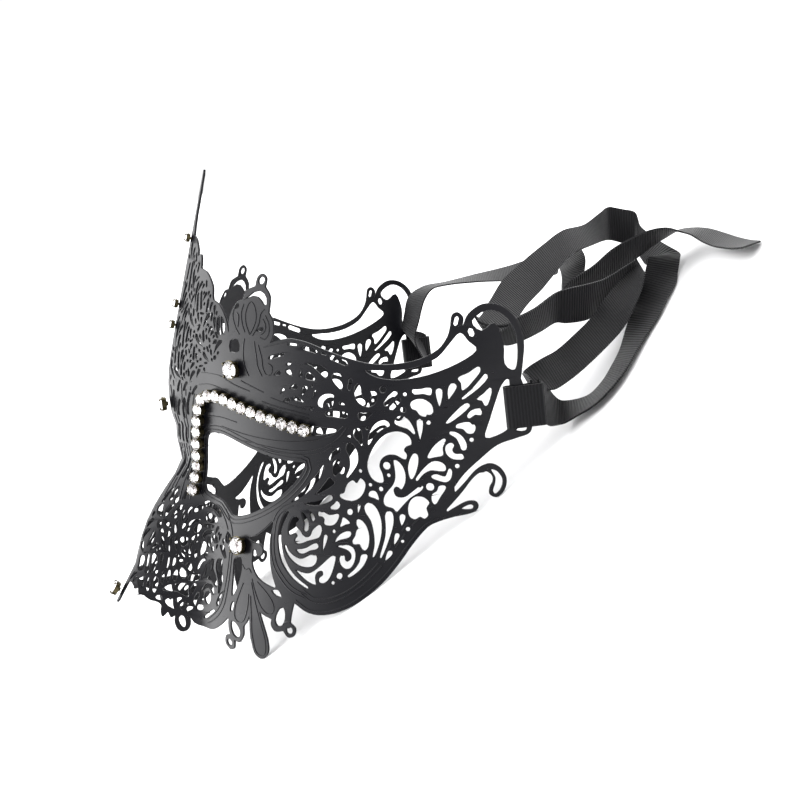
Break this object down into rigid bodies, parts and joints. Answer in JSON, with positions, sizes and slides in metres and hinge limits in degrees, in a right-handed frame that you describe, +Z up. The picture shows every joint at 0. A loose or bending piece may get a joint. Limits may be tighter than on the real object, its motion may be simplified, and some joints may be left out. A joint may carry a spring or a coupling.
{
  "type": "metal filigree masquerade mask",
  "caption": "Pierced black metal half mask with upturned wings, drop-shaped lower edge, claw-set clear crystals and loose black ribbons; lies leaning back on its lower edges.",
  "frame": {"origin": "centre of the underside of the whole part's box, ribbons included, on the surface it lies on", "axes": "+Z up, -Y the way the face looks, +X the wearer's left; the ribbons trail towards +Y"},
  "size_m": [0.1652, 0.2419, 0.1328],
  "materials": {
    "black_metal": "satin",
    "claw_metal": "dark polished",
    "crystal": "clear, faceted",
    "ribbon": "ribbed grosgrain"
  },
  "bodies": {
    "root": {"metal_mask": "black_metal", "crown_cup": "claw_metal", "crown_crystal": "crystal", "upper_forehead_cup": "claw_metal", "upper_forehead_crystal": "crystal", "lower_forehead_cup": "claw_metal", "lower_forehead_crystal": "crystal", "between_brows_cup": "claw_metal", "between_brows_crystal": "crystal", "nose_tip_cup": "claw_metal", "nose_tip_crystal": "crystal", "left_brow_cup": "claw_metal", "left_brow_crystal": "crystal", "left_cheek_cup": "claw_metal", "left_cheek_crystal": "crystal", "left_row_cups": "claw_metal", "left_row_crystal_01": "crystal", "left_row_crystal_02": "crystal", "left_row_crystal_03": "crystal", "left_row_crystal_04": "crystal", "left_row_crystal_05": "crystal", "left_row_crystal_06": "crystal", "left_row_crystal_07": "crystal", "left_row_crystal_08": "crystal", "left_row_crystal_09": "crystal", "left_row_crystal_10": "crystal", "left_row_crystal_11": "crystal", "left_row_crystal_12": "crystal", "left_row_crystal_13": "crystal", "left_row_crystal_14": "crystal", "left_row_crystal_15": "crystal", "left_row_crystal_16": "crystal", "left_row_crystal_17": "crystal", "left_row_crystal_18": "crystal", "right_brow_cup": "claw_metal", "right_brow_crystal": "crystal", "right_cheek_cup": "claw_metal", "right_cheek_crystal": "crystal", "right_row_cups": "claw_metal", "right_row_crystal_01": "crystal", "right_row_crystal_02": "crystal", "right_row_crystal_03": "crystal", "right_row_crystal_04": "crystal", "right_row_crystal_05": "crystal", "right_row_crystal_06": "crystal", "right_row_crystal_07": "crystal", "right_row_crystal_08": "crystal", "right_row_crystal_09": "crystal", "right_row_crystal_10": "crystal", "right_row_crystal_11": "crystal", "right_row_crystal_12": "crystal", "right_row_crystal_13": "crystal", "right_row_crystal_14": "crystal", "right_row_crystal_15": "crystal", "right_row_crystal_16": "crystal", "right_row_crystal_17": "crystal", "right_row_crystal_18": "crystal", "left_ribbon": "ribbon", "right_ribbon": "ribbon"}
  },
  "joints": []
}
